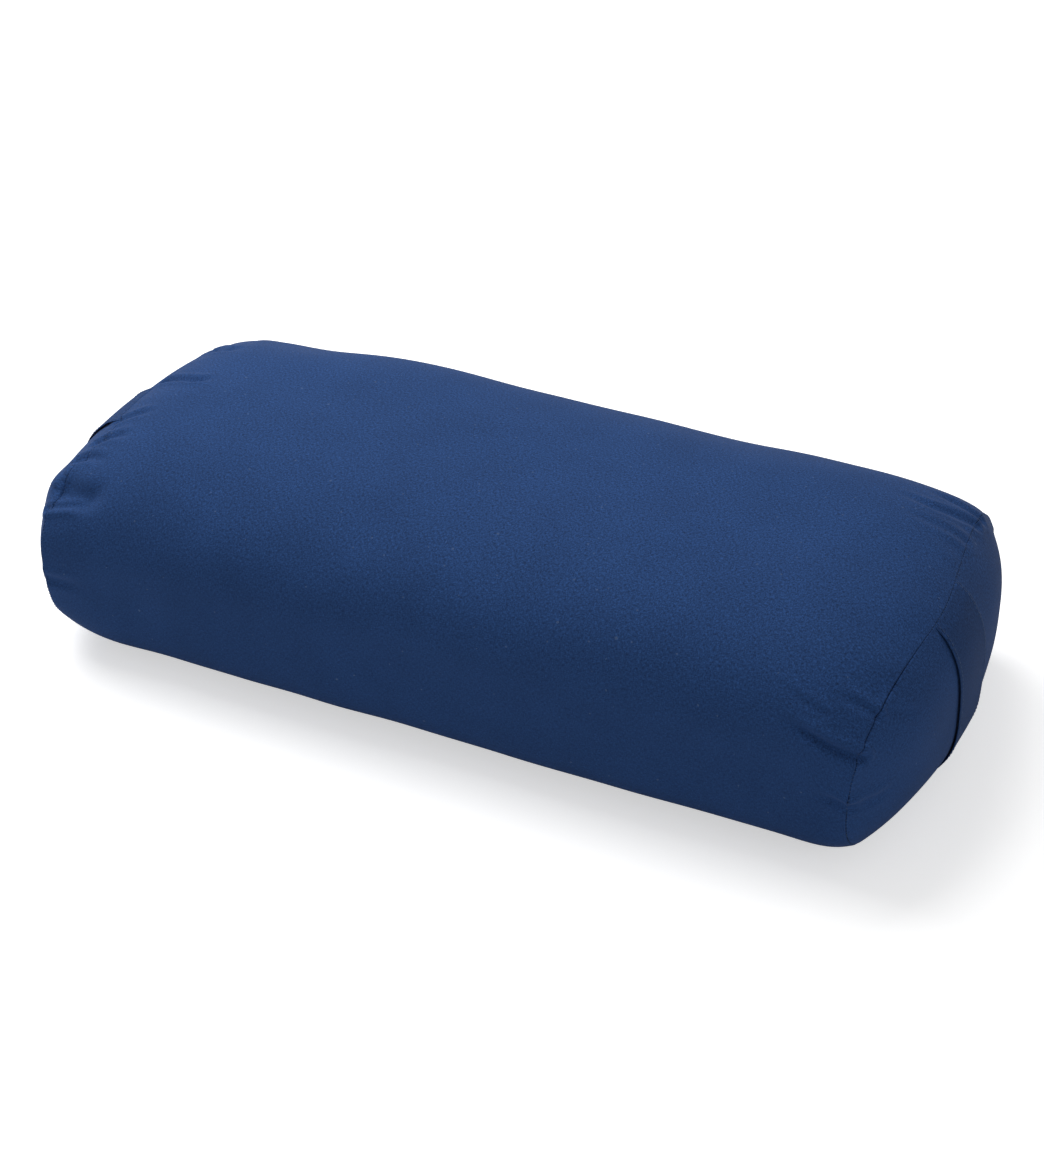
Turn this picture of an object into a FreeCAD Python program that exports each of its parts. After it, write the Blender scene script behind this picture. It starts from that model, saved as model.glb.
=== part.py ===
import FreeCAD, Part
import math
import os

# Rectangular massage and yoga bolster pillow, millimetres.
# X runs along the length, Y across the width and +Z up. The origin is the middle of the underside.

# Driving dimensions of the stuffed bolster
LENGTH = 650.0
WIDTH = 296.0
HEIGHT = 157.0
END_HEIGHT = 131.0
END_LIFT = 2.0
BASE_PRESS = 0.6
END_DOME = 29.0

# Fullness: powers of the rounded cross-sections, of the crown along the length and of the end domes
TOP_POWER = 2.4
BASE_POWER = 5.6
END_TOP_POWER = 2.75
END_BASE_POWER = 3.0
CROWN_POWER = 8.7
DOME_POWER = 3.0
STATIONS = (0.5, 0.72, 0.86, 0.95, 1.0)
DOME_RINGS = (1.0, 0.96, 0.9, 0.8, 0.66, 0.48, 0.28)
SECTION_POINTS = 56
REACH = 400.0

# Fabrics
COVER_CLOTH = 1.2
LINER_INSET = 4.6
LINER_CLOTH = 0.8
FILL_INSET = 6.0
LAYER_COUNT = 5
LAYER_GAP = 0.6

# Carry strap at each end, sewn in nearer to the side away from the zip
STRAP_WIDTH = 56.0
STRAP_MIDDLE_Y = -17.0
STRAP_CLOTH = 1.6
STRAP_SEAM_GAP = 0.4
STRAP_SLACK = 1.2
STRAP_SEAM_END = 0.97
GRIP_HEIGHT = 46.0
STRAP_SPLIT = 0.4
STRAP_POINTS = 17

# Zip low on the back long side
ZIP_LENGTH = 480.0
ZIP_Z = 58.0
ZIP_SLOT = 9.0
ZIP_MARGIN = 4.0
TAPE_WIDTH = 13.0
TAPE_CLOTH = 0.6
TAPE_DEPTH = 0.5
COIL_GAP = 1.2
COIL_WIDTH = 2.0
COIL_HEIGHT = 1.6
STOP_LENGTH = 2.4
STOP_PROUD = 0.3

# Zip slider and its pull tab
SLIDER_LENGTH = 9.0
SLIDER_WIDTH = 8.0
SLIDER_CLEARANCE = 0.2
WING_PLATE = 1.1
FLANGE_INSIDE = 5.9
FLANGE_WALL = 0.5
BLADE_WIDTH = 0.7
BLADE_LENGTH = 2.4
CROWN_LENGTH = 7.4
CROWN_WIDTH = 2.0
CROWN_WALL = 0.8
CROWN_ROOM = 1.5
CROWN_FOOT = 1.1
PULL_PIN_RADIUS = 0.5
PULL_WIDTH = 5.6
PULL_ARM_ROOM = 2.8
PULL_LENGTH = 27.0
PULL_CLOTH = 1.0
PULL_HOLE_RADIUS = 1.5
PULL_HOLE_INSET = 4.6
PULL_EDGE_ROUND = 2.2
PULL_NECK = 5.0

SEAM_X = LENGTH / 2.0 - END_DOME - STRAP_SEAM_GAP - STRAP_SLACK - STRAP_CLOTH
END_MIDDLE = (END_HEIGHT + END_LIFT) / 2.0
WALL_Y = WIDTH / 2.0
TAPE_Y = WALL_Y - COVER_CLOTH - TAPE_DEPTH - TAPE_CLOTH
COIL_Y = TAPE_Y + TAPE_CLOTH
SLIDER_X = ZIP_LENGTH / 2.0 - ZIP_MARGIN - SLIDER_LENGTH / 2.0
SLIDER_FACE_Y = COIL_Y + COIL_HEIGHT + SLIDER_CLEARANCE
CROWN_Y = SLIDER_FACE_Y + WING_PLATE
PULL_Y = CROWN_Y + CROWN_ROOM / 2.0


def save(shape, node):
    os.makedirs("parts", exist_ok=True)
    shape.exportStep("parts/" + node + ".step")


def block(x_range, y_range, z_range):
    size = [high - low for low, high in (x_range, y_range, z_range)]
    corner = FreeCAD.Vector(x_range[0], y_range[0], z_range[0])
    return Part.makeBox(size[0], size[1], size[2], corner)


def around(middle, size):
    return (middle - size / 2.0, middle + size / 2.0)


def section(x, half_width, low, high, base_power, top_power):
    """Rounded outline across the bolster, with its own fullness above and below its middle."""
    middle = (low + high) / 2.0
    half_height = (high - low) / 2.0
    points = []
    for index in range(SECTION_POINTS):
        turn = 2.0 * math.pi * index / SECTION_POINTS
        # more of the points go to the rounded shoulders than to the flats
        angle = turn - math.sin(4.0 * turn) / 8.0
        power = top_power if math.sin(angle) >= 0 else base_power
        across = abs(math.cos(angle) / half_width) ** power
        upward = abs(math.sin(angle) / half_height) ** power
        radius = (across + upward) ** (-1.0 / power)
        z = middle + radius * math.sin(angle)
        points.append(FreeCAD.Vector(x, radius * math.cos(angle), z))
    curve = Part.BSplineCurve()
    curve.interpolate(Points=points, PeriodicFlag=True)
    return Part.Wire([curve.toShape()])


def blend_between(end_value, middle_value, share):
    """Value at a share of the half length: full in the middle, falling away near the ends."""
    crown = 1.0 - share ** CROWN_POWER
    return end_value + (middle_value - end_value) * crown


def tube_solid(inset):
    """The long body between the two end seams, pressed flat underneath and drawn in by an inset."""
    shares = [-share for share in reversed(STATIONS)] + [0.0] + list(STATIONS)
    wires = []
    for share in shares:
        size = abs(share)
        low = blend_between(END_LIFT, -BASE_PRESS, size) + inset
        high = blend_between(END_HEIGHT, HEIGHT, size) - inset
        base_power = blend_between(END_BASE_POWER, BASE_POWER, size)
        top_power = blend_between(END_TOP_POWER, TOP_POWER, size)
        wires.append(section(share * SEAM_X, WALL_Y - inset, low, high, base_power, top_power))
    below = block((-REACH, REACH), (-REACH, REACH), (-REACH, inset))
    return Part.makeLoft(wires, True, False).cut(below)


def dome_solid(inset):
    """The bulge of the right end panel, outside the seam, drawn in by an inset."""
    half_width = WALL_Y - inset
    half_height = (END_HEIGHT - END_LIFT) / 2.0 - inset
    wires = []
    for ring in DOME_RINGS:
        x = SEAM_X + (END_DOME - inset) * (1.0 - ring ** DOME_POWER)
        low = END_MIDDLE - half_height * ring
        high = END_MIDDLE + half_height * ring
        wires.append(section(x, half_width * ring, low, high, END_BASE_POWER, END_TOP_POWER))
    return Part.makeLoft(wires, True, False)


def mirrored(shape):
    return shape.mirror(FreeCAD.Vector(0, 0, 0), FreeCAD.Vector(1, 0, 0))


def panel_shells(outer_inset, cloth):
    """Wrap, right end and left end panels of one bag, as thin closed shells."""
    wrap = tube_solid(outer_inset).cut(tube_solid(outer_inset + cloth))
    right = dome_solid(outer_inset).cut(dome_solid(outer_inset + cloth))
    return wrap, right, mirrored(right)


def zip_slot():
    return block(around(0.0, ZIP_LENGTH), (WALL_Y - LINER_INSET / 2.0, WALL_Y + 1.0), around(ZIP_Z, ZIP_SLOT))


def batting_layers():
    """The fill: flat layers of batting stacked inside the liner."""
    right = dome_solid(FILL_INSET)
    fill = tube_solid(FILL_INSET).fuse([right, mirrored(right)])
    height = HEIGHT - 2.0 * FILL_INSET
    pitch = height / LAYER_COUNT
    layers = []
    for index in range(LAYER_COUNT):
        low = FILL_INSET + index * pitch
        high = low + pitch - LAYER_GAP
        slab = block((-REACH, REACH), (-REACH, REACH), (low, high))
        layers.append(fill.common(slab))
    return layers


def strap_point(share, offset):
    """Point on the strap's path: share runs from -1 at the lower seam to 1 at the upper seam."""
    half_height = (END_HEIGHT - END_LIFT) / 2.0
    on_panel = FreeCAD.Vector(SEAM_X + END_DOME * (1.0 - abs(share) ** DOME_POWER), 0, 0)
    on_panel.z = END_MIDDLE + share * half_height
    outward = FreeCAD.Vector(half_height, 0, DOME_POWER * END_DOME * share * abs(share))
    outward.normalize()
    lift = STRAP_SEAM_GAP + STRAP_SLACK * (1.0 - share * share)
    return on_panel + outward * (lift + offset)


def strap_band():
    """The whole right strap: a flat band curved over the end panel."""
    last = STRAP_POINTS - 1
    shares = [STRAP_SEAM_END * (2.0 * index / last - 1.0) for index in range(STRAP_POINTS)]
    faces = []
    for offset in (0.0, STRAP_CLOTH):
        curve = Part.BSplineCurve()
        curve.interpolate([strap_point(share, offset) for share in shares])
        faces.append(curve)
    inner, outer = faces
    edges = [
        inner.toShape(),
        Part.LineSegment(inner.EndPoint, outer.EndPoint).toShape(),
        outer.toShape(),
        Part.LineSegment(outer.StartPoint, inner.StartPoint).toShape(),
    ]
    profile = Part.Face(Part.Wire(Part.__sortEdges__(edges)))
    profile.translate(FreeCAD.Vector(0, STRAP_MIDDLE_Y - STRAP_WIDTH / 2.0, 0))
    return profile.extrude(FreeCAD.Vector(0, STRAP_WIDTH, 0))


def strap_parts():
    """Grip, upper leg and lower leg of the right strap."""
    band = strap_band()
    grip_low, grip_high = around(END_MIDDLE, GRIP_HEIGHT)
    heights = {
        "grip": (grip_low, grip_high),
        "upper_leg": (grip_high + STRAP_SPLIT, REACH),
        "lower_leg": (-REACH, grip_low - STRAP_SPLIT),
    }
    reach = (-REACH, REACH)
    return {name: band.common(block(reach, reach, span)) for name, span in heights.items()}


def zip_halves(y_range, near, far, length):
    """The same strip above and below the line where the zip closes."""
    along = around(0.0, length)
    upper = block(along, y_range, (ZIP_Z + near, ZIP_Z + far))
    lower = block(along, y_range, (ZIP_Z - far, ZIP_Z - near))
    return upper, lower


def zip_tapes():
    near = COIL_GAP / 2.0
    return zip_halves((TAPE_Y, COIL_Y), near, near + TAPE_WIDTH, ZIP_LENGTH + 2.0 * ZIP_MARGIN)


def zip_coils():
    near = COIL_GAP / 2.0
    length = ZIP_LENGTH - 2.0 * ZIP_MARGIN
    return zip_halves((COIL_Y, COIL_Y + COIL_HEIGHT), near, near + COIL_WIDTH, length)


def zip_stops():
    """A clip over both coils at the open end, and one clip on each coil at the closed end."""
    end = ZIP_LENGTH / 2.0 - ZIP_MARGIN
    span = COIL_GAP + 2.0 * COIL_WIDTH
    y_range = (COIL_Y, COIL_Y + COIL_HEIGHT + STOP_PROUD)
    bottom = block((-end - STOP_LENGTH, -end), y_range, around(ZIP_Z, span))
    clips = []
    for side in (-1.0, 1.0):
        middle = ZIP_Z + side * (COIL_GAP + COIL_WIDTH) / 2.0
        clips.append(block((end, end + STOP_LENGTH), y_range, around(middle, COIL_WIDTH)))
    return bottom, Part.makeCompound(clips)


def rounded_plate(x_range, y_range, z_range, radius):
    """Plate facing Y with its four corners rounded."""
    plate = block(x_range, y_range, z_range)
    corners = [edge for edge in plate.Edges if abs(edge.tangentAt(edge.FirstParameter).y) > 0.9]
    return plate.makeFillet(radius, corners)


def slider_body():
    """Two wings joined by a blade between the coils, with the crown that holds the pull."""
    along = around(SLIDER_X, SLIDER_LENGTH)
    across = around(ZIP_Z, SLIDER_WIDTH)
    face = SLIDER_FACE_Y
    back = TAPE_Y - SLIDER_CLEARANCE
    outer_wing = rounded_plate(along, (face, face + WING_PLATE), across, PULL_EDGE_ROUND)
    inner_wing = rounded_plate(along, (back - WING_PLATE, back), across, PULL_EDGE_ROUND)
    nose = along[1] - PULL_EDGE_ROUND
    blade = block((nose - BLADE_LENGTH, nose), (back, face), around(ZIP_Z, BLADE_WIDTH))
    pieces = [inner_wing, blade, slider_crown()]
    for side in (-1.0, 1.0):
        middle = ZIP_Z + side * (FLANGE_INSIDE + FLANGE_WALL) / 2.0
        straight = (along[0] + PULL_EDGE_ROUND, along[1] - PULL_EDGE_ROUND)
        low = COIL_Y + SLIDER_CLEARANCE
        pieces.append(block(straight, (low, face), around(middle, FLANGE_WALL)))
    return outer_wing.fuse(pieces).removeSplitter()


def slider_crown():
    """Low bridge along the slider that the pull's pin turns under."""
    x_range = around(SLIDER_X, CROWN_LENGTH)
    z_range = around(ZIP_Z, CROWN_WIDTH)
    top = CROWN_Y + CROWN_ROOM
    bridge = block(x_range, (top, top + CROWN_WALL), z_range)
    feet = []
    for start in (x_range[0], x_range[1] - CROWN_FOOT):
        feet.append(block((start, start + CROWN_FOOT), (CROWN_Y, top), z_range))
    return bridge.fuse(feet)


def pull_tab():
    """Pull lying back along the closed coils: a pin, two arms and a rounded tab with a hole."""
    z_range = around(ZIP_Z, PULL_WIDTH)
    y_range = around(PULL_Y, PULL_CLOTH)
    plate = rounded_plate((SLIDER_X - PULL_LENGTH, SLIDER_X), y_range, z_range, PULL_EDGE_ROUND)
    window = block((SLIDER_X - PULL_NECK, SLIDER_X + 1.0), (0.0, REACH), around(ZIP_Z, PULL_ARM_ROOM))
    pin_start = FreeCAD.Vector(SLIDER_X - PULL_PIN_RADIUS, PULL_Y, ZIP_Z - PULL_WIDTH / 2.0)
    pin = Part.makeCylinder(PULL_PIN_RADIUS, PULL_WIDTH, pin_start, FreeCAD.Vector(0, 0, 1))
    hole_start = FreeCAD.Vector(SLIDER_X - PULL_LENGTH + PULL_HOLE_INSET, 0, ZIP_Z)
    hole = Part.makeCylinder(PULL_HOLE_RADIUS, REACH, hole_start, FreeCAD.Vector(0, 1, 0))
    return plate.cut([window, hole]).fuse(pin).removeSplitter()


def main():
    wrap, right_end, left_end = panel_shells(0.0, COVER_CLOTH)
    save(wrap.cut(zip_slot()), "cover_wrap_panel")
    save(right_end, "cover_end_panel_right")
    save(left_end, "cover_end_panel_left")

    liner_wrap, liner_right, liner_left = panel_shells(LINER_INSET, LINER_CLOTH)
    save(liner_wrap, "liner_wrap_panel")
    save(liner_right, "liner_end_panel_right")
    save(liner_left, "liner_end_panel_left")

    for number, layer in enumerate(batting_layers(), start=1):
        save(layer, "fill_batting_layer_" + str(number))

    for name, part in strap_parts().items():
        save(part, "carry_strap_right_" + name)
        save(mirrored(part), "carry_strap_left_" + name)

    for name, halves in (("zip_tape", zip_tapes()), ("zip_coil", zip_coils())):
        save(halves[0], name + "_upper")
        save(halves[1], name + "_lower")
    bottom_stop, top_stops = zip_stops()
    save(bottom_stop, "zip_bottom_stop")
    save(top_stops, "zip_top_stops")
    save(slider_body(), "zip_slider_body")
    save(pull_tab(), "zip_pull_tab")


main()
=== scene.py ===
import math
from contextlib import contextmanager

import bmesh
import bpy
import numpy as np
from mathutils import Matrix, Vector, noise
from mathutils.kdtree import KDTree


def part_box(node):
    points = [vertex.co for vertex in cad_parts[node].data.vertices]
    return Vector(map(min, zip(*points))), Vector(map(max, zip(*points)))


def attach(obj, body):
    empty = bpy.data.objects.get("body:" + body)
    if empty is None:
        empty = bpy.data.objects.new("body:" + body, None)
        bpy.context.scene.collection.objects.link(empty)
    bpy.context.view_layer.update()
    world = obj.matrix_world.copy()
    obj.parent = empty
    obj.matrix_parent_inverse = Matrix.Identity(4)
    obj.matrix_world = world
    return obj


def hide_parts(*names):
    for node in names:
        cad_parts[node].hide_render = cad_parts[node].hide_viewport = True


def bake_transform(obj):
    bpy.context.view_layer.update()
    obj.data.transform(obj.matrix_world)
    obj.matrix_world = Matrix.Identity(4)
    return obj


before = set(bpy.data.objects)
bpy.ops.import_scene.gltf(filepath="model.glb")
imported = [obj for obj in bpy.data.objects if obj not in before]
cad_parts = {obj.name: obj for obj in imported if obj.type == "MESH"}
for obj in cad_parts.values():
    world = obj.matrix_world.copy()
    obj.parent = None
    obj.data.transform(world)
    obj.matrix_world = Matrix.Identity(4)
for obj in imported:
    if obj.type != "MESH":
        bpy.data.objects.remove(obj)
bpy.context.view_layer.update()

MM = 0.001
WRAP_LOW, WRAP_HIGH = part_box("cover_wrap_panel")
END_LOW, END_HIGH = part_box("cover_end_panel_right")
GRIP_LOW, GRIP_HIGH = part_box("carry_strap_right_grip")
STRAP_HALF = (GRIP_HIGH.y - GRIP_LOW.y) / 2
STRAP_Y = (GRIP_HIGH.y + GRIP_LOW.y) / 2
TAPE_LOW, TAPE_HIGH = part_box("zip_tape_upper")
LOWER_TAPE_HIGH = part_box("zip_tape_lower")[1]
COIL_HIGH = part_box("zip_coil_upper")[1]
SEAM_X = WRAP_HIGH.x
HALF_WIDTH = WRAP_HIGH.y
TOP = WRAP_HIGH.z
END_TOP = END_HIGH.z
END_BASE = END_LOW.z
END_MIDDLE = (END_TOP + END_BASE) / 2
# What lies further out than this is the long side with the zip
BACK_Y = 0.9 * HALF_WIDTH

# How round the stuffed body is: powers of superellipses
CROWN_POWER = 8.7
DOME_POWER = 3.3
TOP_ROUND_NEAR = 2.5
TOP_ROUND_FAR = 2.3
# The near top edge is softer towards the left end and tighter towards the right one
NEAR_ROUND_CHANGE = 0.35
BASE_ROUND = 5.6
# The lower edges are rounder in the middle of the length than towards the ends
BASE_ROUND_CHANGE = -0.85
BASE_ROUND_FADE = 4
END_TOP_ROUND = 2.75
END_BASE_ROUND = 3.0
# How far the middle of each end panel stands out past its seam
RIGHT_DOME = 23.5 * MM
LEFT_DOME = 34 * MM
# How far each end seam bows outwards round the panel, as sin, cos, cos 2, cos 4 and sin 2 shares
RIGHT_BOW = [value * MM for value in (-3.1, 1.7, -7.6, -1.3, -4.1)]
LEFT_BOW = [value * MM for value in (0.0, 4.4, -1.5, 0.0, -2.5)]
# How fast that bow fades away from the seam, along the wrap panel and across the end panel
BOW_FADE = 4
PANEL_BOW_FADE = 3

# Mesh of the cover: columns run round it, rows along it
QUARTER_COLUMNS = 68
ARC_SAMPLES = 600
# Steps between the rows next to an end seam, and the number of rows between those
ROW_STEPS = [value * MM for value in (0.6, 0.9, 1.5, 2, 2.5, 3, 3.5, 4, 4.5, 5, 5.5, 6, 7, 8)]
LONG_ROWS = 44
# Rows of an end panel, as shares of the way from its middle to its seam
DOME_STEPS = (
    0.996, 0.988, 0.975, 0.96, 0.94, 0.91, 0.875, 0.83, 0.78,
    0.72, 0.65, 0.57, 0.48, 0.38, 0.27, 0.16, 0.07,
)


def crown(share):
    """Full in the middle of the length, falling away near the end seams."""
    return 1 - abs(share) ** CROWN_POWER


def mix(end_value, middle_value, amount):
    """The first value at 0, the second at 1."""
    return end_value + (middle_value - end_value) * amount


def smooth_step(value, low, high):
    """An S-curve from 0 at the low value to 1 at the high one."""
    share = np.clip((value - low) / (high - low), 0, 1)
    return share * share * (3 - 2 * share)


def seam_bow(angles, bow):
    """How far an end seam bows outwards at each polar angle."""
    sine, cosine, cosine2, cosine4, sine2 = bow
    wave = sine * np.sin(angles) + cosine * np.cos(angles) + cosine2 * np.cos(2 * angles)
    return wave + cosine4 * np.cos(4 * angles) + sine2 * np.sin(2 * angles)


def section(share):
    """Columns of the cross-section at a share of the half length: polar angles, y and z."""
    full = crown(share)
    low = mix(END_BASE, WRAP_LOW.z, full)
    high = mix(END_TOP, TOP, full)
    middle = (low + high) / 2
    half_height = (high - low) / 2
    near_round = TOP_ROUND_NEAR + NEAR_ROUND_CHANGE * share
    base_round = BASE_ROUND + BASE_ROUND_CHANGE * (1 - abs(share) ** BASE_ROUND_FADE)
    powers = [
        mix(END_TOP_ROUND, TOP_ROUND_FAR, full),
        mix(END_TOP_ROUND, near_round, full),
        mix(END_BASE_ROUND, base_round, full),
        mix(END_BASE_ROUND, base_round, full),
    ]
    parts = []
    for quarter, power in enumerate(powers):
        angles = np.linspace(0, math.pi / 2, ARC_SAMPLES) + quarter * math.pi / 2
        reach = np.abs(np.cos(angles) / HALF_WIDTH) ** power + np.abs(np.sin(angles) / half_height) ** power
        radius = reach ** (-1 / power)
        y = radius * np.cos(angles)
        z = middle + radius * np.sin(angles)
        length = np.concatenate([[0], np.cumsum(np.hypot(np.diff(y), np.diff(z)))])
        wanted = np.linspace(0, length[-1], QUARTER_COLUMNS, endpoint=False)
        parts.append([np.interp(wanted, length, value) for value in (angles, y, z)])
    return [np.concatenate(values) for values in zip(*parts)]


def body_rows():
    """Places along x of the wrap panel's rows, which lie closer near the end seams."""
    near = np.cumsum([0.0] + ROW_STEPS)
    inner = np.linspace(near[-1], 2 * SEAM_X - near[-1], LONG_ROWS)
    return np.concatenate([near[:-1], inner, (2 * SEAM_X - near[:-1])[::-1]]) - SEAM_X


def cover_grid():
    """The whole cover as rows of columns, from the middle of the left end panel to that of the right."""
    rows = []
    for x in body_rows():
        share = x / SEAM_X
        angles, y, z = section(share)
        bow = RIGHT_BOW if x > 0 else LEFT_BOW
        shift = math.copysign(abs(share) ** BOW_FADE, x) * seam_bow(angles, bow)
        rows.append(np.stack([x + shift, y, z], 1))
    left, right = rows[0], rows[-1]
    angles = section(1)[0]
    panels = ((-1, left, LEFT_DOME, LEFT_BOW), (1, right, RIGHT_DOME, RIGHT_BOW))
    ends = {-1: [], 1: []}
    for step in DOME_STEPS:
        for side, seam, dome, bow in panels:
            out = SEAM_X + dome * (1 - step ** DOME_POWER) + seam_bow(angles, bow) * step ** PANEL_BOW_FADE
            z = END_MIDDLE + (seam[:, 2] - END_MIDDLE) * step
            ends[side].append(np.stack([side * out, seam[:, 1] * step, z], 1))
    return np.array(ends[-1][::-1] + rows + ends[1])


def lengths_along(line):
    """The running length of a line of points, from 0."""
    return np.concatenate([[0], np.cumsum(np.linalg.norm(np.diff(line, axis=0), axis=1))])


def points_at(wanted, lengths, line):
    """Points of a line at the wanted running lengths."""
    return np.stack([np.interp(wanted, lengths, line[:, axis]) for axis in range(3)], 1)


# Where the left end seam runs further in: the middle and width of that stretch as polar angles, how far in
# it runs and wanders there, and how far from the seam the cloth is slid along with it
SEAM_DRIFT_ANGLE = math.radians(137)
SEAM_DRIFT_WIDTH = math.radians(17)
SEAM_DRIFT = 12 * MM
SEAM_WANDER = 0.8 * MM
SEAM_WANDER_WAVES = 23
SEAM_DRIFT_REACH = 60 * MM


def drifted_seam(grid):
    """The same surface, its rows slid along it so that the left end seam lies further in near one corner."""
    angles = section(1)[0]
    slides = SEAM_DRIFT * np.exp(-((angles - SEAM_DRIFT_ANGLE) / SEAM_DRIFT_WIDTH) ** 2)
    slides += SEAM_WANDER * np.sin(angles * SEAM_WANDER_WAVES) * slides / SEAM_DRIFT
    for column, slide in enumerate(slides):
        line = grid[:, column]
        lengths = lengths_along(line)
        away = np.abs(lengths - lengths[FIRST_SEAM]) / SEAM_DRIFT_REACH
        grid[:, column] = points_at(lengths + slide * (1 - smooth_step(away, 0, 1)), lengths, line)
    return grid



# Rows of the grid that lie on the left and on the right end seam
FIRST_SEAM = len(DOME_STEPS)
LAST_SEAM = FIRST_SEAM + len(body_rows()) - 1
END_SEAMS = {-1: FIRST_SEAM, 1: LAST_SEAM}
SIDE_NAMES = {-1: "left", 1: "right"}


# Mesh helpers

def unit(vectors):
    return vectors / np.maximum(np.linalg.norm(vectors, axis=-1, keepdims=True), 1e-12)


def grid_normals(grid):
    """Outward normals of the grid's points."""
    along = np.gradient(grid, axis=0)
    around = (np.roll(grid, -1, 1) - np.roll(grid, 1, 1)) / 2
    normals = unit(np.cross(around, along))
    centre = np.array([0, 0, TOP / 2])
    facing = ((grid - centre) * normals).sum(2).mean()
    return normals if facing > 0 else -normals


def grid_faces(rows, columns, start=0):
    """Faces between the rows of a grid whose columns run all the way round."""
    faces = []
    for row in range(rows - 1):
        for column in range(columns):
            after = (column + 1) % columns
            low = start + row * columns
            faces.append((low + column, low + after, low + columns + after, low + columns + column))
    return faces


def closed_faces(rows, columns, start=0):
    """The same faces, with a cap at each end."""
    last = start + (rows - 1) * columns
    caps = [tuple(range(first, first + columns)) for first in (start, last)]
    return grid_faces(rows, columns, start) + caps


def new_object(name, data):
    built = bpy.data.objects.new(name, data)
    bpy.context.scene.collection.objects.link(built)
    return built


def mesh_object(name, points, faces, material=None):
    mesh = bpy.data.meshes.new(name)
    mesh.from_pydata(np.asarray(points).tolist(), [], faces)
    mesh.update()
    if material is not None:
        mesh.materials.append(material)
    mesh.shade_smooth()
    return new_object(name, mesh)


@contextmanager
def editing(piece):
    """A piece's mesh, opened for editing and written back."""
    edit = bmesh.new()
    edit.from_mesh(piece.data)
    yield edit
    edit.to_mesh(piece.data)
    edit.free()


def face_outwards(piece):
    with editing(piece) as edit:
        bmesh.ops.recalc_face_normals(edit, faces=edit.faces)


def points_of(mesh):
    flat = np.empty(len(mesh.vertices) * 3)
    mesh.vertices.foreach_get("co", flat)
    return flat.reshape(-1, 3)


def lay_out(built, values):
    """Gives each corner of the mesh its vertex's place on the flat cloth, in metres."""
    layer = built.data.uv_layers.new(name="cloth")
    corners = np.empty(len(built.data.loops), dtype=int)
    built.data.loops.foreach_get("vertex_index", corners)
    layer.data.foreach_set("uv", np.asarray(values)[corners].ravel())


def subdivide(built):
    """Adds a subdivision and applies it."""
    built.modifiers.new("smooth", "SUBSURF").levels = 1
    bpy.context.view_layer.update()
    graph = bpy.context.evaluated_depsgraph_get()
    finished = bpy.data.meshes.new_from_object(built.evaluated_get(graph), depsgraph=graph)
    built.modifiers.clear()
    built.data = finished


def declare(piece, nodes=()):
    """Makes a piece ride on the bolster and hides the CAD nodes that it stands for."""
    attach(piece, "bolster")
    if nodes:
        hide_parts(*nodes)


# Materials

# A noise texture mostly lies between these two values
NOISE_LOW, NOISE_HIGH = 0.3, 0.7


class Finish:
    """A Principled material being put together."""

    def __init__(self, name, roughness, **sockets):
        self.material = bpy.data.materials.new(name)
        self.material.use_nodes = True
        self.tree = self.material.node_tree
        self.shader = self.tree.nodes["Principled BSDF"]
        self.shader.inputs["Roughness"].default_value = roughness
        for socket, value in sockets.items():
            self.shader.inputs[socket.replace("_", " ")].default_value = value

    def add(self, kind, inputs=None, **settings):
        node = self.tree.nodes.new("ShaderNode" + kind)
        for setting, value in settings.items():
            setattr(node, setting, value)
        for socket, value in (inputs or {}).items():
            if isinstance(value, bpy.types.NodeSocket):
                self.tree.links.new(value, node.inputs[socket])
            else:
                node.inputs[socket].default_value = value
        return node

    def join(self, value, socket):
        self.tree.links.new(value, self.shader.inputs[socket])

    def cloth_place(self, stretch=(1, 1, 1)):
        place = self.add("UVMap", uv_map="cloth")
        return self.add("Mapping", {"Vector": place.outputs["UV"], "Scale": stretch}).outputs["Vector"]

    def space_place(self):
        return self.add("TexCoord").outputs["Object"]

    def noise(self, place, scale, detail=2.0, roughness=0.5):
        inputs = {"Vector": place, "Scale": scale, "Detail": detail, "Roughness": roughness}
        return self.add("TexNoise", inputs).outputs["Fac"]

    def math(self, operation, first, second):
        return self.add("Math", {0: first, 1: second}, operation=operation).outputs[0]

    def times(self, product, *factors):
        for factor in factors:
            product = self.math("MULTIPLY", product, factor)
        return product

    def spread(self, value, low, high, new_low, new_high):
        """A value brought from one range to another, and kept inside it."""
        inputs = {"Value": value, "From Min": low, "From Max": high, "To Min": new_low, "To Max": new_high}
        return self.add("MapRange", inputs).outputs[0]

    def vary(self, texture, low, high):
        """A noise texture brought to a range of its own."""
        return self.spread(texture, NOISE_LOW, NOISE_HIGH, low, high)

    def shade(self, colour, factor):
        """A colour times a varying brightness."""
        parts = [self.times(factor, value) for value in colour]
        return self.add("CombineColor", dict(zip(("Red", "Green", "Blue"), parts))).outputs[0]

    def blend_colours(self, amount, first, colour):
        inputs = {"Factor": amount, 6: first, 7: (*colour, 1)}
        return self.add("Mix", inputs, data_type="RGBA").outputs[2]

    def bump(self, height, depth, strength=1.0):
        node = self.add("Bump", {"Height": height, "Distance": depth, "Strength": strength})
        self.join(node.outputs["Normal"], "Normal")


CLOTH_BLUE = (0.0203, 0.0592, 0.18)
LINT = (0.16, 0.22, 0.33)
SEED_HUSK = (0.28, 0.2, 0.12)
TWILL_PITCH = 1.2 * MM
# A diagonal wave texture of scale 1 repeats every 0.444 m
WAVE_REPEAT = 0.444
# The heather's flecks are drawn out along the threads
THREAD_SCALE = 1650
THREAD_STRETCH = 0.3


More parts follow.
